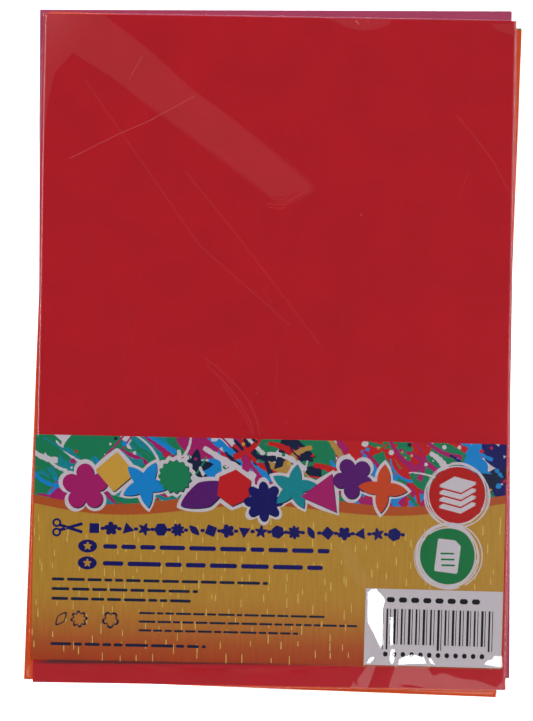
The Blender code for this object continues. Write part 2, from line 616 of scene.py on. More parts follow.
def band_shapes(rng):
    """Offcuts of coloured sheet strewn over each other: big pieces, ribbons and snips."""
    shapes = []
    kinds = (STAR, SQUARE, TRIANGLE, BLOSSOM, LEAF, DISC, HEXAGON)
    big_spots = [(u, v) for u in range(-102, 108, 11) for v in (45, 34, 23)]
    rng.shuffle(big_spots)
    for u, v in big_spots:
        spot = (u + rng.uniform(-4, 4), v + rng.uniform(-3, 3))
        piece = cut_out(spot, rng.uniform(8.0, 12.0), rng.choice(kinds), any_turn(rng))
        shapes.append((band_ink(u, rng, with_white=False), piece))
    for _ in range(RIBBONS):
        u, v = rng.uniform(-104, 104), rng.uniform(19, 51)
        lean = math.radians(rng.uniform(120, 160) if rng.random() < 0.85 else rng.uniform(25, 70))
        length, bend, wide = rng.uniform(10, 32), rng.uniform(-0.8, 0.8), rng.uniform(0.8, 3.6)
        route = []
        for i in range(RIBBON_STEPS + 1):
            share = i / RIBBON_STEPS - 0.5
            angle = lean + bend * share
            route.append((u + length * share * math.cos(angle), v + length * share * math.sin(angle)))
        shapes.append((band_ink(u, rng), ribbon(route, snipped(wide))))
    for _ in range(SNIPS):
        spot = (rng.uniform(-104, 104), rng.uniform(19, 49))
        ink = rng.choice(("white", "white", "blue", "magenta", "yellow", "slate", "red", "green"))
        snip = cut_out(spot, rng.uniform(0.5, 1.5), rng.choice(kinds), any_turn(rng), points=12)
        shapes.append((ink, snip))
    return shapes


def fleck_shapes(rng):
    """Short pale upright strokes, strewn evenly over the gold."""
    shapes = []
    for column in range(FLECK_COLUMNS):
        for row in range(FLECK_ROWS):
            u = -102 + 9.2 * column + rng.uniform(-4.2, 4.2)
            low = max(-49.0 + 6.3 * row + rng.uniform(-3, 3), -LABEL_HALF_HEIGHT + 0.02)
            long = rng.uniform(2.0, 4.6)
            if low + long > band_edge(u) - 7.0 or abs(u) > LABEL_HALF_WIDTH - 0.4:
                continue
            half = rng.uniform(0.17, 0.26)
            foot = [(u - half, low), (u + half, low)]
            shapes.append(("fleck", foot + [(u + half * 0.5, low + long), (u - half, low + long * 0.93)]))
    return shapes


def showpiece_shapes():
    """Bright cut-outs in a row on a wave, each with a broad white rim and a thin dark shade."""
    pieces = (
        (BLOSSOM, "magenta", 10.4), (SQUARE, "yellow", 9.0), (STAR, "blue", 10.8), (DISC, "green", 7.6),
        (LEAF, "violet", 11.6), (HEXAGON, "red", 8.2), (DAISY, "navy", 8.8), (STAR, "teal", 10.4),
        (TRIANGLE, "magenta", 10.0), (BLOSSOM, "violet", 9.2), (SPARK, "orange", 11.0),
    )
    rims, shades, faces = [], [], []
    for i, (kind, ink, radius) in enumerate(pieces):
        centre = (-82 + 13.2 * i, 28.4 + 3.4 * math.sin(0.75 * i + 0.4) + (2.6 if i % 2 else -2.6))
        turn = 0.35 + 0.5 * math.sin(2.3 * i)
        rims.append(("white", cut_out(centre, radius, kind, turn, 1.9)))
        shades.append(("slate", cut_out((centre[0] + 0.35, centre[1] - 0.45), radius, kind, turn)))
        faces.append((ink, cut_out(centre, radius, kind, turn)))
    return rims + shades + faces


def scissors_shapes(u, v):
    """Open scissors that point to the right, at the start of the cutting line."""
    shapes = []
    for side in (-1, 1):
        ring = (u - 4.2, v - side * 2.1)
        shapes.append(("navy", disc(ring, 2.0, 20)))
        shapes.append(("navy", ribbon([(u - 3.0, v - side * 1.2), (u + 7.2, v + side * 1.9)], 1.35)))
        shapes.append(("gold", disc(ring, 1.05, 16)))
    shapes.append(("gold", disc((u - 0.2, v - 0.2), 0.32, 10)))
    return shapes


def cutting_line_shapes():
    """A bold row of little shapes to cut round, with short dashes between them."""
    shapes = scissors_shapes(-90.1, CUTTING_LINE)
    kinds = (SQUARE, BLOSSOM, TRIANGLE, STAR, HEXAGON, DAISY, LEAF)
    for i in range(19):
        u = -77.6 + 7.4 * i
        shapes.append(("navy", cut_out((u, CUTTING_LINE), 3.1, kinds[i % len(kinds)], 0.4 * i)))
        shapes.append(("navy", bar(u + 2.7, u + 4.7, CUTTING_LINE, 1.5)))
    return shapes


def small_print_shapes(rng):
    """Two bulleted lines and seven small ones, as plain bars, and three outlined shapes beside them."""
    shapes = []
    for v, right in ((0.9, 27.0), (-6.6, 25.0)):
        shapes.append(("navy", oval((-80.4, v), 8.5, 5.8)))
        shapes.append(("gold", cut_out((-80.4, v), 2.0, STAR, 0.3)))
        shapes += [("navy", outline) for outline in word_bars(-73.5, right, v, 2.0, rng)]
    for v, left, right, height in SMALL_PRINT:
        shapes += [("slate", outline) for outline in word_bars(left, right, v, height, rng)]
    for u, kind in ((-91.5, LEAF), (-83.5, DAISY), (-69.5, BLOSSOM)):
        shapes.append(("slate", cut_out((u, -31.6), 3.9, kind, 0.9)))
        shapes.append(("gold", cut_out((u, -31.6), 2.9, kind, 0.9)))
    return shapes


def hand_drawn_rings(centre, radius, rng):
    """Loose loops of a white pen round a badge."""
    shapes = []
    for _ in range(6):
        shift = (centre[0] + rng.uniform(-0.8, 0.8), centre[1] + rng.uniform(-0.8, 0.8))
        wide, high = radius + rng.uniform(0.5, 2.6), radius + rng.uniform(0.5, 2.6)
        start = any_turn(rng)
        route = []
        for i in range(RING_STEPS):
            angle = start + 2 * math.pi * i / (RING_STEPS + 0.5)
            route.append((shift[0] + wide * math.cos(angle), shift[1] + high * math.sin(angle)))
        shapes.append(("white", ribbon(route, rng.uniform(0.3, 0.6))))
    return shapes


def badge_shapes(rng):
    """A red badge with a pile of sheets on it, and a green one with a dog-eared sheet."""
    shapes = [("badge_red", disc(RED_BADGE, BADGE_RADIUS, 48))]
    shapes.append(("badge_green", disc(GREEN_BADGE, BADGE_RADIUS, 48)))
    shapes += hand_drawn_rings(RED_BADGE, LOOP_RADIUS, rng)
    shapes += hand_drawn_rings(GREEN_BADGE, LOOP_RADIUS, rng)
    for i in range(4):
        v = 22.0 + 3.1 * i
        page = [(75.0, v), (84.8, v - 2.4), (91.6, v + 1.6), (81.8, v + 4.0)]
        shapes.append(("badge_red", [(x, y - 1.5) for x, y in page]))
        shapes.append(("white", [(x, y - 0.75) for x, y in page]))
        shapes.append(("white", page))
    shapes.append(("white", page_outline(GREEN_BADGE, 10.4, 14.6, 0.8, math.radians(-6))))
    shapes.append(("badge_green", [(85.6, 4.0), (86.0, 8.0), (81.8, 7.8)]))
    shapes.append(("white", [(82.1, 6.9), (81.7, 3.5), (85.0, 3.3)]))
    for v in (1.0, -1.6, -4.2):
        shapes.append(("badge_green", bar(76.3 - 0.1 * v, 82.4 - 0.1 * v, v, 0.8)))
    return shapes


def label_shapes():
    """The label card's whole print, from the lowest layer to the uppermost."""
    rng = random.Random(11)
    shapes = band_shapes(rng)
    shapes.append(("rust", below_edge(lambda u: 0.0)))
    shapes.append(("gold", below_edge(lambda u: 4.7 + 1.1 * math.sin(0.03 * u + 2.0))))
    shapes += fleck_shapes(rng)
    shapes += showpiece_shapes()
    shapes += cutting_line_shapes()
    shapes += small_print_shapes(rng)
    shapes += badge_shapes(rng)
    return shapes


def sticker_shapes():
    """The sticker's print: an even tally of upright bars, and plain bars in place of type."""
    shapes = []
    left, step = -22.6, 1.62
    for i in range(31):
        u = left + step * i
        wide = (0.35, 0.8, 0.35, 1.05)[i % 4]
        foot = -9.9 if i in (0, 1, 15, 16, 29, 30) else -7.6
        shapes.append(("slate", [(u, foot), (u + wide, foot), (u + wide, 8.2), (u, 8.2)]))
    for start in range(8):
        shapes.append(("slate", bar(-21.0 + 5.4 * start, -17.4 + 5.4 * start, 12.2, 2.3)))
    for start in range(12):
        shapes.append(("slate", bar(-22.0 + 3.9 * start, -20.0 + 3.9 * start, -12.0, 2.2)))
    return shapes


def anticlockwise(points):
    """The same outline, always running anticlockwise, so that the divided face counts what lies inside it."""
    doubled_area = sum(
        ahead[1] * here[0] - ahead[0] * here[1] for here, ahead in zip(points, points[1:] + points[:1])
    )
    return points if doubled_area > 0 else points[::-1]


def crowded(outlines):
    """Whether a spot lies so near to one of these outlines that a grid point there would make slivers."""
    along = []
    for points in outlines:
        for here, ahead in zip(points, points[1:] + points[:1]):
            here, ahead = Vector(here), Vector(ahead)
            steps = max(1, math.ceil((ahead - here).length / GRID_CLEARANCE))
            along += [here.lerp(ahead, step / steps) for step in range(steps)]
    tree = KDTree(len(along))
    for i, spot in enumerate(along):
        tree.insert((spot.x, spot.y, 0.0), i)
    tree.balance()
    return lambda spot: bool(along) and tree.find((spot.x, spot.y, 0.0))[2] < GRID_CLEARANCE


def divided_face(name, width, height, cell, ground, shapes):
    """A flat face divided along the outlines of its shapes, and what lies uppermost at each of its parts.

    Sizes are in millimetres. The ground and each shape carry a mark, and later shapes lie over earlier ones.
    """
    right, top = width / 2, height / 2
    outline = [(-right, -top), (right, -top), (right, top), (-right, top)]
    layers = [(ground, outline)] + shapes
    spots, faces = [], []
    for _, points in layers:
        faces.append(list(range(len(spots), len(spots) + len(points))))
        spots += [Vector(point) for point in anticlockwise(points)]
    across, along = round(width / cell), round(height / cell)
    too_near = crowded([points for _, points in shapes])
    for i in range(across + 1):
        for j in range(along + 1):
            spot = Vector(((i / across - 0.5) * width, (j / along - 0.5) * height))
            if i in (0, across) or j in (0, along) or not too_near(spot):
                spots.append(spot)
    made = delaunay_2d_cdt(spots, [], faces, TRIANGLES_INSIDE, PRINT_MERGE)
    new_spots, new_faces, sources = made[0], made[2], made[5]
    kept = [i for i, source in enumerate(sources) if 0 in source]
    mesh = bpy.data.meshes.new(name)
    mesh.from_pydata(
        [(spot.x * MM, spot.y * MM, 0.0) for spot in new_spots], [], [new_faces[i] for i in kept]
    )
    face = bpy.data.objects.new(name, mesh)
    bpy.context.scene.collection.objects.link(face)
    tidy = bmesh.new()
    tidy.from_mesh(mesh)
    loose = [vert for vert in tidy.verts if not vert.link_faces]
    bmesh.ops.delete(tidy, geom=loose, context="VERTS")
    tidy.to_mesh(mesh)
    tidy.free()
    return face, [layers[max(sources[i])][0] for i in kept]


def printed_face(name, width, height, shapes, inks):
    """A flat card face with a material for each ink."""
    card, marks = divided_face(name, width, height, CARD_CELL, inks[0], shapes)
    for polygon, ink in zip(card.data.polygons, marks):
        polygon.material_index = inks.index(ink)
    return card


def card_coordinates(mat, middle, turn):
    """Metres from the middle of the card, along its own edges."""
    values = {"Location": (middle.x, middle.y, 0.0), "Rotation": (0.0, 0.0, turn)}
    mapping = add_node(mat, "ShaderNodeMapping", values, vector_type="TEXTURE")
    link(mat, object_coordinates(mat), mapping.inputs["Vector"])
    return mapping.outputs["Vector"]


def ink_material(name, shown, roughness):
    """Printing ink on coated board: an even colour with a faint grain from the press."""
    colour = as_base_colour(shown)
    mat, shader = new_material(name, colour, roughness, 0.3)
    coordinates = object_coordinates(mat)
    mottle(mat, shader, noise_texture(mat, coordinates, 1600.0, 3.0, 0.7), colour, 0.93, 1.07)
    surface = noise_texture(mat, coordinates, 260.0, 3.0)
    link(mat, bump(mat, surface, 0.00002, 0.25), shader.inputs["Normal"])
    return mat


def gold_ink_material(middle, turn):
    """Gold ground that runs into rust towards the card's lower edge, with faint upright streaks."""
    mat = ink_material("ink_gold", INKS["gold"], 0.36)
    shader = mat.node_tree.nodes["Principled BSDF"]
    coordinates = card_coordinates(mat, middle, turn)
    split = add_node(mat, "ShaderNodeSeparateXYZ")
    link(mat, coordinates, split.inputs["Vector"])
    height = map_range(mat, split.outputs["Y"], (-LABEL_HALF_HEIGHT * MM, 0.0), (0.0, 1.0))
    stops = [(position, as_base_colour(shown)) for position, shown in (*GOLD_STOPS, (1.0, INKS["gold"]))]
    stretch = add_node(mat, "ShaderNodeVectorMath", {1: (900.0, 70.0, 0.0)}, operation="MULTIPLY")
    link(mat, coordinates, stretch.inputs[0])
    streaks = noise_texture(mat, stretch.outputs["Vector"], 1.0, 3.0)
    shaded = add_node(mat, "ShaderNodeVectorMath", operation="SCALE")
    link(mat, colour_ramp(mat, height, stops), shaded.inputs[0])
    link(mat, map_range(mat, streaks, (0.3, 0.75), (0.92, 1.10)), shaded.inputs["Scale"])
    link(mat, shaded.outputs["Vector"], shader.inputs["Base Color"])
    return mat


def finish_card(card, node, inks, materials):
    """Thickness, place and finish of a printed card, whose back and edges are plain board."""
    middle, low, high, turn = flat_place(node)
    for ink in inks:
        card.data.materials.append(materials[ink])
    card.data.materials.append(materials["board"])
    give_thickness(card, high - low, rim_material=len(inks), back_material=len(inks))
    apply_modifiers(card)
    put_in_place(card, middle, high, turn)
    settle(card)
    shade(card, 30)
    declare(card, node)


def build_label():
    middle, _, _, turn = flat_place("label_card")
    shapes = label_shapes()
    materials = {name: ink_material("ink_" + name, shown, 0.36) for name, shown in INKS.items()}
    materials["gold"] = gold_ink_material(middle, turn)
    inks = ["white"] + sorted({ink for ink, _ in shapes} - {"white"})
    size = (2 * LABEL_HALF_WIDTH, 2 * LABEL_HALF_HEIGHT)
    card = printed_face("printed_label_card", *size, shapes, inks)
    finish_card(card, "label_card", inks, materials)


def build_sticker():
    materials = {
        "board": ink_material("sticker_back", (188, 184, 188), 0.6),
        "paper": ink_material("sticker_paper", (180, 172, 177), 0.55),
        "slate": ink_material("sticker_ink", (22, 20, 26), 0.5),
    }
    inks = ["paper", "slate"]
    sticker = printed_face("printed_sticker", *STICKER_SIZE, sticker_shapes(), inks)
    finish_card(sticker, "label_sticker", inks, materials)


# Film bag


# How far a fold tips the film, as the run of its normal in X and Y for a rise of 1. Each tilt turns the
# film's reflection to one thing in the studio: a lamp, or a part of the ceiling or of the walls.
FLAT = (0.0, 0.0)
TO_GLINT = (0.088, 0.003)
TO_WINDOW = (0.020, -0.100)
TO_CEILING = (0.042, 0.063)
TO_CEILING_EDGE = (0.029, 0.044)
TO_FRONT = (0.0, -0.030)
TO_BACK_WALL = (0.02, 0.14)
TO_LEFT_WALL = (-0.13, 0.05)
TO_UPPER_LEFT = (-0.405, 0.11)
TO_MIDDLE_LEFT = (-0.445, 0.12)
TO_LOWER_LEFT = (-0.48, 0.13)
TO_LOW_WALL = (0.10, 0.50)
TO_PALE_WALL = (0.20, 0.58)
TO_HORIZON = (0.45, 0.70)
TO_LEFT_HORIZON = (-0.70, 0.04)
TO_RIGHT_HORIZON = (0.70, 0.04)
TO_KEY_LIGHT = (-0.27, 0.31)
TO_FILL_LIGHT = (0.376, 0.133)
TO_FRONT_LIGHT = (0.045, -0.429)
TO_SIDE_CEILING = (0.09, 0.05)


def crease(tilt, width, *route):
    return tilt, ribbon(route, width)


def widened(outline, margin):
    """An outline moved outwards by a margin, or inwards by a negative one."""
    points = anticlockwise(outline)
    moved = []
    for before, here, ahead in zip(points[-1:] + points[:-1], points, points[1:] + points[:1]):
        run = Vector((ahead[0] - before[0], ahead[1] - before[1])).normalized()
        moved.append((here[0] + run.y * margin, here[1] - run.x * margin))
    return moved


def film_folds():
    """Folds and creases of the film, in millimetres from the top sheet's middle."""
    broad_fold = [
        (-110, 155), (-82.0, 155), (-78.5, 147.6), (-58.0, 132.3), (-38.3, 115.0), (-22.0, 103.6),
        (-6.7, 92.1), (12.5, 76.8), (15.9, 73.4), (15.0, 71.0), (9.5, 67.4), (4.0, 65.2), (-0.5, 65.6),
        (-2.6, 68.4), (-40.0, 95.7), (-57.0, 108.1), (-74.0, 120.9), (-92.1, 132.0),
    ]
    folds = [
        # The corner that is pulled flat, and the broad fold that runs down from it
        (TO_CEILING_EDGE, widened(broad_fold, BROAD_FOLD_SOFTNESS)),
        (TO_CEILING, widened(broad_fold, -BROAD_FOLD_SOFTNESS)),
        (TO_LEFT_WALL, [
            (-110, 150), (-88, 136), (-94, 128.6), (-99.4, 122), (-102.0, 110), (-103.4, 92), (-110, 92),
        ]),
        (TO_UPPER_LEFT, [
            (-110, 155), (-82, 155), (-84, 143), (-92.6, 131.9), (-99.6, 129), (-103.8, 122), (-110, 122),
        ]),
        (TO_MIDDLE_LEFT, [
            (-110, 155), (-87, 155), (-90.0, 143.5), (-97.1, 137.0), (-104.2, 131.7), (-110, 131),
        ]),
        (TO_LOWER_LEFT, [(-110, 155), (-92.5, 155), (-95.4, 146), (-100.0, 141.0), (-110, 138.6)]),
        # Places along the upper edge where the film dips
        (TO_BACK_WALL, [
            (18.7, 149), (49.9, 149), (48.2, 146.0), (43.3, 144.0), (36.6, 142.9), (30.8, 144.1),
        ]),
        (TO_BACK_WALL, [(93.7, 146.6), (103.5, 147.4), (103.3, 141.6), (95.1, 144.6)]),
        crease(TO_HORIZON, 0.7, (33.4, 147.7), (35.1, 145.8)),
        crease(TO_HORIZON, 0.5, (39.0, 147.8), (39.1, 146.9)),
        # Scratches and the lines that run from the corner down to the label
        crease(TO_PALE_WALL, 0.34, (-91.8, 84.0), (-70.6, 95.4), (-57.3, 101.4), (-37.4, 112.8)),
        crease(TO_PALE_WALL, 0.24, (-66.5, 119.8), (-60.9, 130.1)),
        crease(TO_BACK_WALL, 0.45, (-86.6, 119.5), (-66.9, 92.4), (-34.1, 46.5), (6.7, 11.8)),
        crease(TO_BACK_WALL, 0.45, (-41.3, 79.6), (-18.5, 52.5), (20.2, 3.2)),
        crease(TO_BACK_WALL, 0.5, (78.7, 105.9), (86.6, 97.1), (95.4, 86.0), (103.6, 71.0)),
        # Short wrinkles where the broad fold ends
        crease(FLAT, 0.55, (-4.1, 66.6), (3.6, 67.0), (10.4, 71.0)),
        crease(FLAT, 0.45, (-1.8, 68.2), (4.7, 68.6), (9.0, 71.4)),
        crease(FLAT, 0.4, (0.0, 65.6), (6.0, 66.2), (12.5, 69.8)),
        crease(TO_LOW_WALL, 0.25, (-4.6, 66.0), (-1.0, 65.2), (4.6, 65.6)),
        crease(TO_LOW_WALL, 0.22, (-3.6, 64.2), (1.0, 63.4), (4.0, 64.0)),
        # A fan of wrinkles above the label
        crease(
            TO_BACK_WALL, 0.5,
            (-31.6, -2.5), (-24.0, -8.3), (-16.8, -14.6), (-11.7, -21.5), (-7.6, -30.4), (-5.9, -37.4),
        ),
        crease(
            TO_BACK_WALL, 0.5, (-30.1, -5.9), (-21.9, -13.8), (-15.7, -21.6), (-10.6, -30.5), (-8.4, -37.4)
        ),
        crease(TO_BACK_WALL, 0.4, (-22.9, -14.3), (-17.8, -21.6), (-12.6, -29.5), (-9.5, -36.5)),
        crease(TO_BACK_WALL, 0.35, (-10.7, -21.5), (-6.5, -31.4), (-3.9, -36.4)),
        # A soft fold that leads to the sticker
        (TO_BACK_WALL, [(28.8, -85.5), (34.1, -84.1), (46.1, -104.0), (42.6, -106.5), (36.2, -101.0)]),
        # The film caught on the sticker, where it throws back the bright lamp
        (TO_GLINT, [
            (42.9, -106.0), (44.7, -104.6), (46.4, -104.3), (48.7, -106.5), (50.8, -108.8), (50.5, -110.8),
            (50.0, -112.8), (50.2, -128.8), (49.1, -130.3), (47.0, -126.3), (43.2, -119.2),
        ]),
        crease(TO_GLINT, 1.5, (53.7, -116.9), (53.9, -129.0)),
        (TO_GLINT, [(53.7, -131.1), (55.4, -131.1), (55.3, -136.4), (54.0, -137.7), (53.1, -135.5)]),
        (TO_GLINT, [
            (57.0, -137.7), (57.3, -135.6), (59.3, -134.4), (62.8, -133.2), (68.3, -134.2), (69.7, -137.1),
        ]),
        (TO_GLINT, [(70.5, -135.0), (71.7, -134.8), (73.2, -137.6), (71.2, -136.8)]),
        (TO_GLINT, [(42.9, -137.2), (44.3, -135.2), (46.3, -134.6), (46.0, -136.0), (44.3, -137.5)]),
        (TO_GLINT, [
            (94.9, -137.2), (96.3, -136.1), (99.1, -134.9), (99.7, -133.4), (103.2, -133.7), (103.5, -138.4),
        ]),
        # The slope from the label down to the lower edge, and the creased facets on it
        (TO_FRONT, [(-106, -138.0), (43.2, -138.3), (105.5, -139.0), (106, -149), (-106, -149)]),
        (TO_WINDOW, [(43.5, -138.4), (47.2, -138.3), (43.6, -149), (39.6, -149), (38.9, -145.0)]),
        (TO_WINDOW, [(35.7, -149), (37.4, -145.5), (39.9, -149)]),
        (TO_WINDOW, [
            (55.9, -138.4), (69.8, -138.7), (72.7, -142.7), (76.7, -141.0), (84.9, -143.6), (91.8, -144.2),
            (100.5, -147.1), (104.8, -143.6), (106, -149), (52.6, -149),
        ]),
        (FLAT, [(57.8, -146.5), (64.1, -146.9), (69.6, -148.0), (59.5, -147.7)]),
    ]
    rng = random.Random(4)
    for _ in range(16):
        spot = Vector((rng.uniform(-98, 98), rng.uniform(-30, 140)))
        run = Vector((rng.uniform(-6, 6), rng.uniform(-22, 22)))
        folds.append(crease(TO_SIDE_CEILING, 0.22, spot, spot + run))
    for spot in ((37.4, 61.3), (47.6, 112.8), (-7.6, -18.5), (5.8, -31.1), (-60.0, 31.0)):
        folds.append((TO_HORIZON, disc(spot, 0.3, 8)))
    # The film bends along both long sides, over the top sheet's edge
    left_side = [(-103.55 - 0.0028 * v, v) for v in range(-39, 151, 3)]
    right_side = [(104.35, v) for v in range(-150, 151, 3)]
    folds += [crease(TO_LEFT_HORIZON, 0.9, *left_side), crease(TO_KEY_LIGHT, 0.11, *left_side)]
    folds += [crease(TO_RIGHT_HORIZON, 1.3, *right_side), crease(TO_FILL_LIGHT, 0.15, *right_side)]
    return folds


def film_relief(spot):
    """How far the film stands off the pack at a place on its front, in millimetres."""
    waves = noise.noise(Vector((spot.x / 26, spot.y / 30, 3.0)))
    waves += 0.5 * noise.noise(Vector((spot.x / 11, spot.y / 14, 8.0)))
    return FILM_RELIEF * (1 + waves)


def sleeve_tree():
    """The film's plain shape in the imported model, for rays to hit."""
    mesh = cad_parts["clear_sleeve"].data
    return BVHTree.FromPolygons(
        [vert.co.copy() for vert in mesh.vertices], [tuple(face.vertices) for face in mesh.polygons]
    )


def wall_spot(tree, heading, z):
    """Where the pack's side is, at this height and in this direction from the top sheet's middle."""
    outward = Vector((heading.x, heading.y, 0.0)).normalized()
    start = Vector((RED_MIDDLE.x, RED_MIDDLE.y, z)) + outward * OUTSIDE
    hit = tree.ray_cast(start, -outward)[0]
    crinkle = noise.noise(Vector((hit.x * 90, hit.y * 90, z * 60 + 5)))
    return hit + outward * (FILM_PUSH + FILM_CRINKLE * abs(crinkle))


def rim_in_order(sheet):
    """The points of the sheet's rim, anticlockwise round its middle."""
    rim = [vert for vert in sheet.verts if vert.is_boundary]
    return sorted(rim, key=lambda vert: math.atan2(vert.co.y, vert.co.x))


def add_row(sheet, rim):
    """One more row of faces outside the rim, and the new rim, in the same order as the old one."""
    outer = [sheet.verts.new(vert.co) for vert in rim]
    for here, ahead, outer_here, outer_ahead in zip(rim, rim[1:] + rim[:1], outer, outer[1:] + outer[:1]):
        sheet.faces.new((here, outer_here, outer_ahead, ahead))
    return outer


def lid_spot(tree, grid_spot, z, inset):
    """A grid point moved so that the grid fills the pack's outline at this height, less an inset."""
    share = max(abs(grid_spot.x) * 2 / SHEET_WIDTH, abs(grid_spot.y) * 2 / SHEET_LENGTH)
    if share < AT_MIDDLE:
        return RED_MIDDLE.copy()
    rim = wall_spot(tree, grid_spot, z).xy - RED_MIDDLE
    rim *= 1 - inset / rim.length
    return RED_MIDDLE + rim * share


def film_rows(edge_z, toward_weld):
    """Heights and insets of the rows that round an edge and run along the side to the weld."""
    rows = [(edge_z + toward_weld * drop, inset) for inset, drop in FILM_EDGE[1:]]
    last = WELD_HEIGHT + WELD_GAP / 2 * (-toward_weld)
    start = rows[-1][0]
    for step in range(1, SIDE_ROWS + 1):
        rows.append((start + (last - start) * step / SIDE_ROWS, 0.0))
    rows.append((last, -WELD_WIDTH * 0.5))
    rows.append((last, -WELD_WIDTH))
    return rows


def weld_wave(spot):
    """The weld's fin is a little wavy and uneven in width."""
    return WELD_WAVE * noise.noise(Vector((spot.x * 60, spot.y * 60, 2.0)))


def catch_light(face):
    """How far to tip a face of the film's edge so that it throws back the light on its side of the studio."""
    x, y = face.center.x / SHEET_WIDTH, face.center.y / SHEET_LENGTH
    if abs(x) > abs(y):
        target = TO_FILL_LIGHT if x > 0 else TO_KEY_LIGHT
    else:
        target = TO_KEY_LIGHT if y > 0 else TO_FRONT_LIGHT
    return face.normal.z * target[0] - face.normal.x, face.normal.z * target[1] - face.normal.y


def mark_folds(film, tilts, ring, front):
    """Keeps every face's tilt on the film, where a ring of the front's edge catches the light."""
    tilts = tilts + [FLAT] * (CATCH_LIGHT_ROW * ring)
    lit = film.data.polygons[len(tilts):len(tilts) + ring] if front else []
    tilts += [catch_light(face) for face in lit]
    tilts += [FLAT] * (len(film.data.polygons) - len(tilts))
    fold = film.data.attributes.new("fold", "FLOAT_VECTOR", "FACE")
    fold.data.foreach_set("vector", [part for x, y in tilts for part in (x, y, 0.0)])


def build_film_half(name, front, tree):
    """Half of the bag: its front or back, rounded over the edges and down or up the sides to the weld."""
    folds = film_folds() if front else []
    film, tilts = divided_face(name, SHEET_WIDTH / MM, SHEET_LENGTH / MM, FILM_CELL, FLAT, folds)
    sheet = bmesh.new()
    sheet.from_mesh(film.data)
    edge_z = PACK_HEIGHT if front else FILM_THICKNESS + FLAP_CLEARANCE
    toward_weld = -1 if front else 1
    lid_inset, wall_drop = FILM_EDGE[0][0], FILM_EDGE[-1][1]
    wall_z = edge_z + toward_weld * wall_drop
    base = list(sheet.verts)
    rim = rim_in_order(sheet)
    headings = [vert.co.copy() for vert in rim]
    rows = []
    last = rim
    for z, inset in film_rows(edge_z, toward_weld):
        last = add_row(sheet, last)
        rows.append((z, inset, last))
    for vert in base:
        spot = lid_spot(tree, vert.co, wall_z, lid_inset)
        lift = film_relief((spot - RED_MIDDLE) / MM) * MM if front else 0.0
        vert.co = Vector((spot.x, spot.y, edge_z + lift))
    for z, inset, points in rows:
        for vert, heading in zip(points, headings):
            on_wall = wall_spot(tree, heading, z if inset <= 0 else wall_z)
            outward = (on_wall.xy - RED_MIDDLE).normalized()
            flat = on_wall.xy - outward * inset
            vert.co = Vector((flat.x, flat.y, z))
            if inset < 0:
                vert.co.z += weld_wave(vert.co)
            elif inset > 0 and front:
                lift = film_relief((flat - RED_MIDDLE) / MM) * MM
                vert.co.z += lift * inset / lid_inset
    sheet.normal_update()
    sheet.to_mesh(film.data)
    sheet.free()
    mark_folds(film, tilts, len(rim), front)
    if not front:
        film.data.flip_normals()
    give_thickness(film, FILM_THICKNESS, even=False)
    apply_modifiers(film)
    settle(film)
    return film


def hull_edge(tree, start, heading):
    """Where the pack's side is, seen from outside in this direction."""
    return tree.ray_cast(Vector(start), Vector(heading))[0]


def build_flap(tree, mat, glue):
    """The bag's flap: folded over the upper edge on to the back, and held there by a strip of glue."""
    z = WELD_HEIGHT / 2
    flap = add_grid("film_flap", 1.0, 1.0, 1.0 / FLAP_CELLS)
    middle_top = hull_edge(tree, (0.0, OUTSIDE, z), (0.0, -1.0, 0.0)).y
    for polygon in flap.data.polygons:
        from_end = (polygon.center.y + 0.5) * FLAP_LENGTH
        polygon.material_index = 1 if 0 < from_end - GLUE_FROM_FLAP_END < GLUE_HEIGHT else 0
    for vert in flap.data.vertices:
        along = vert.co.y + 0.5
        y = middle_top - FLAP_LENGTH * (1 - along)
        side_y = y - WIDTH_TAKEN_FROM_FOLD * along
        left = hull_edge(tree, (-OUTSIDE, side_y, z), (1.0, 0.0, 0.0)).x + FLAP_SIDE_GAP
        right = hull_edge(tree, (OUTSIDE, side_y, z), (-1.0, 0.0, 0.0)).x - FLAP_SIDE_GAP
        x = left + (right - left) * (vert.co.x + 0.5)
        top = hull_edge(tree, (x, OUTSIDE, z), (0.0, -1.0, 0.0)).y - FILM_EDGE[0][0]
        droop = FLAP_DROOP * noise.noise(Vector((x * 40, 0.0, 4.0))) * (1 - along)
        vert.co = Vector((x, top - (FLAP_LENGTH - FILM_EDGE[0][0]) * (1 - along) + droop, 0.0))
    flap.data.flip_normals()
    give_thickness(flap, FILM_THICKNESS)
    apply_modifiers(flap)
    flap.data.materials.append(mat)
    flap.data.materials.append(glue)
    shade(flap, 60)
    declare(flap, "clear_sleeve")


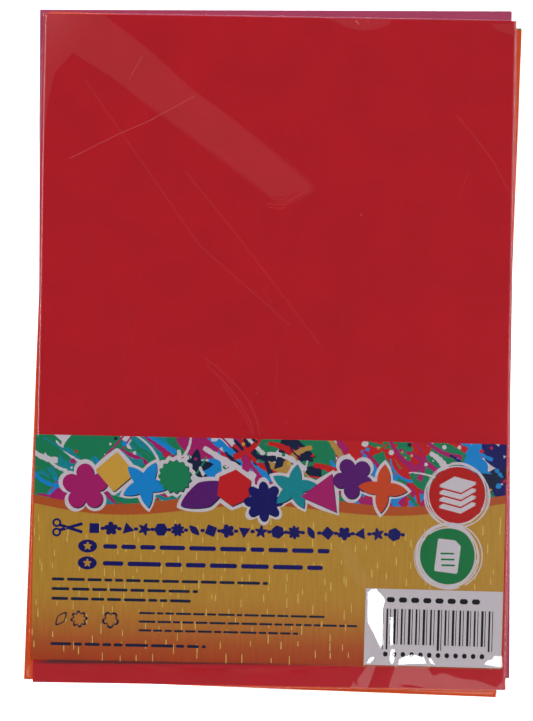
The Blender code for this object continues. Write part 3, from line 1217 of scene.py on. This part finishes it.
def film_material():
    """Clear polypropylene film: see-through, glossy, with fine creases and a breath of haze."""
    mat = bpy.data.materials.new("clear_film")
    mat.use_nodes = True
    nodes = mat.node_tree.nodes
    nodes.remove(nodes["Principled BSDF"])
    clear = add_node(mat, "ShaderNodeBsdfTransparent", {"Color": (0.985, 0.987, 0.99, 1.0)})
    gloss_look = {"Color": (1.0, 1.0, 1.0, 1.0), "Roughness": FILM_ROUGHNESS}
    gloss = add_node(mat, "ShaderNodeBsdfAnisotropic", gloss_look)
    fresnel = add_node(mat, "ShaderNodeFresnel")
    inner_face = add_node(mat, "ShaderNodeNewGeometry").outputs["Backfacing"]
    film_ior = map_range(mat, inner_face, (0.0, 1.0), (FILM_IOR, 1 / FILM_IOR))
    link(mat, film_ior, fresnel.inputs["IOR"])
    rippled = bump(mat, noise_texture(mat, object_coordinates(mat), 140.0), 0.00006, 0.3)
    fold = add_node(mat, "ShaderNodeAttribute", attribute_name="fold")
    tipped = add_node(mat, "ShaderNodeVectorMath", operation="ADD")
    link(mat, rippled, tipped.inputs[0])
    link(mat, fold.outputs["Vector"], tipped.inputs[1])
    folded = add_node(mat, "ShaderNodeVectorMath", operation="NORMALIZE")
    link(mat, tipped.outputs["Vector"], folded.inputs[0])
    link(mat, folded.outputs["Vector"], gloss.inputs["Normal"])
    limit = add_node(mat, "ShaderNodeMath", {1: FILM_GLOSS_LIMIT}, operation="MINIMUM")
    link(mat, fresnel.outputs["Fac"], limit.inputs[0])
    mix = add_node(mat, "ShaderNodeMixShader")
    link(mat, limit.outputs["Value"], mix.inputs["Fac"])
    link(mat, clear.outputs["BSDF"], mix.inputs[1])
    link(mat, gloss.outputs["BSDF"], mix.inputs[2])
    link(mat, mix.outputs["Shader"], nodes["Material Output"].inputs["Surface"])
    return mat


def glue_material():
    """The flap's glue strip, seen through the film: clear, with a faint haze of trapped air."""
    mat, shader = new_material("glue_strip", (0.86, 0.87, 0.86), 0.3)
    haze = noise_texture(mat, object_coordinates(mat), 420.0, 3.0)
    link(mat, map_range(mat, haze, (0.0, 1.0), (0.10, 0.38)), shader.inputs["Alpha"])
    return mat


def build_film():
    tree = sleeve_tree()
    mat = film_material()
    front = build_film_half("film_front", True, tree)
    back = build_film_half("film_back", False, tree)
    for film in (front, back):
        film.data.materials.append(mat)
        shade(film, 60)
        film.modifiers.new("even_shading", "WEIGHTED_NORMAL").keep_sharp = True
        apply_modifiers(film)
    declare(front, "clear_sleeve")
    declare(back, "clear_sleeve")
    build_flap(tree, mat, glue_material())


# Stage, light and camera

FLOOR_SIZE = 14.0
FLOOR_Z = -0.0002

# The studio by height, as the rise of a direction of length 1: the opening's rim and its dark middle, and the
# walls from their pale foot up to the ceiling
OPENING_HEIGHTS = (math.cos(math.radians(10.0)), math.cos(math.radians(7.4)))
OPENING_GLOW = 0.03
WALL_HEIGHTS = (math.sin(math.radians(12.0)), math.sin(math.radians(45.0)))
WALL_GLOW = (0.95, 0.20)


def build_floor():
    """A white floor, which the film's gloss shows much darker, so that the film hides none of the colours."""
    floor = add_grid("floor", FLOOR_SIZE, FLOOR_SIZE, 1.0)
    floor.data.transform(Matrix.Translation((0.0, 0.0, FLOOR_Z)))
    mat, shader = new_material("floor", (0.80, 0.80, 0.80), 0.9, 0.1)
    set_values(shader, {"Emission Color": (1.0, 1.0, 1.0, 1.0), "Emission Strength": 1.4})
    in_gloss = add_node(mat, "ShaderNodeBsdfDiffuse", {"Color": (0.06, 0.06, 0.06, 1.0)})
    path = add_node(mat, "ShaderNodeLightPath")
    mix = add_node(mat, "ShaderNodeMixShader")
    link(mat, path.outputs["Is Glossy Ray"], mix.inputs["Fac"])
    link(mat, shader.outputs["BSDF"], mix.inputs[1])
    link(mat, in_gloss.outputs["BSDF"], mix.inputs[2])
    link(mat, mix.outputs["Shader"], mat.node_tree.nodes["Material Output"].inputs["Surface"])
    floor.data.materials.append(mat)


def build_world():
    """Walls that are pale low down, a dim ceiling, and a dark opening in it, where the camera looks through.

    The camera itself sees plain white all round.
    """
    world = bpy.data.worlds.new("studio")
    bpy.context.scene.world = world
    world.use_nodes = True
    split = add_node(world, "ShaderNodeSeparateXYZ")
    direction = add_node(world, "ShaderNodeTexCoord").outputs["Generated"]
    link(world, direction, split.inputs["Vector"])
    height = split.outputs["Z"]
    opening = map_range(world, height, OPENING_HEIGHTS, (0.0, OPENING_GLOW), "SMOOTHSTEP")
    walls = map_range(world, height, WALL_HEIGHTS, WALL_GLOW, "SMOOTHSTEP")
    link(world, walls, opening.node.inputs["To Min"])
    seen = add_node(world, "ShaderNodeMix", {"B": 1.0})
    path = add_node(world, "ShaderNodeLightPath")
    link(world, path.outputs["Is Camera Ray"], seen.inputs["Factor"])
    link(world, opening, seen.inputs["A"])
    background = world.node_tree.nodes["Background"]
    set_values(background, {"Color": (1.0, 1.0, 1.0, 1.0)})
    link(world, seen.outputs["Result"], background.inputs["Strength"])


def add_softbox(name, place, size, power):
    light = bpy.data.lights.new(name, "AREA")
    light.shape = "RECTANGLE"
    light.size, light.size_y = size
    light.energy = power
    softbox = bpy.data.objects.new(name, light)
    bpy.context.scene.collection.objects.link(softbox)
    softbox.location = place
    softbox.rotation_euler = (-Vector(place)).to_track_quat("-Z", "Y").to_euler()
    softbox.visible_camera = False


def build_lights():
    add_softbox("key", (-1.3, 1.5, 2.0), (0.9, 0.9), 18.0)
    add_softbox("fill", (1.7, 0.6, 1.9), (0.9, 0.9), 11.0)
    add_softbox("front", (0.2, -1.9, 1.8), (0.9, 0.7), 8.0)
    add_softbox("window", (0.25, -0.86, 2.5), (0.5, 0.36), 0.5)
    add_softbox("glint", (0.60, -0.31, 2.5), (0.30, 0.30), 3.0)


def build_camera():
    camera = bpy.data.cameras.new("camera")
    camera.sensor_width = SENSOR
    camera.lens = SENSOR * CAMERA_DISTANCE / VIEW_HEIGHT
    camera.clip_start, camera.clip_end = 0.1, 50.0
    viewer = bpy.data.objects.new("camera", camera)
    bpy.context.scene.collection.objects.link(viewer)
    aim = RED_MIDDLE + Matrix.Rotation(CAMERA_ROLL, 2) @ CAMERA_AIM
    viewer.location = (aim.x, aim.y, red_high.z + CAMERA_DISTANCE)
    viewer.rotation_euler = (0.0, 0.0, CAMERA_ROLL)
    bpy.context.scene.camera = viewer


build_sheets()
build_label()
build_sticker()
build_film()
build_floor()
build_world()
build_lights()
build_camera()
bpy.context.scene.view_settings.view_transform = "Standard"
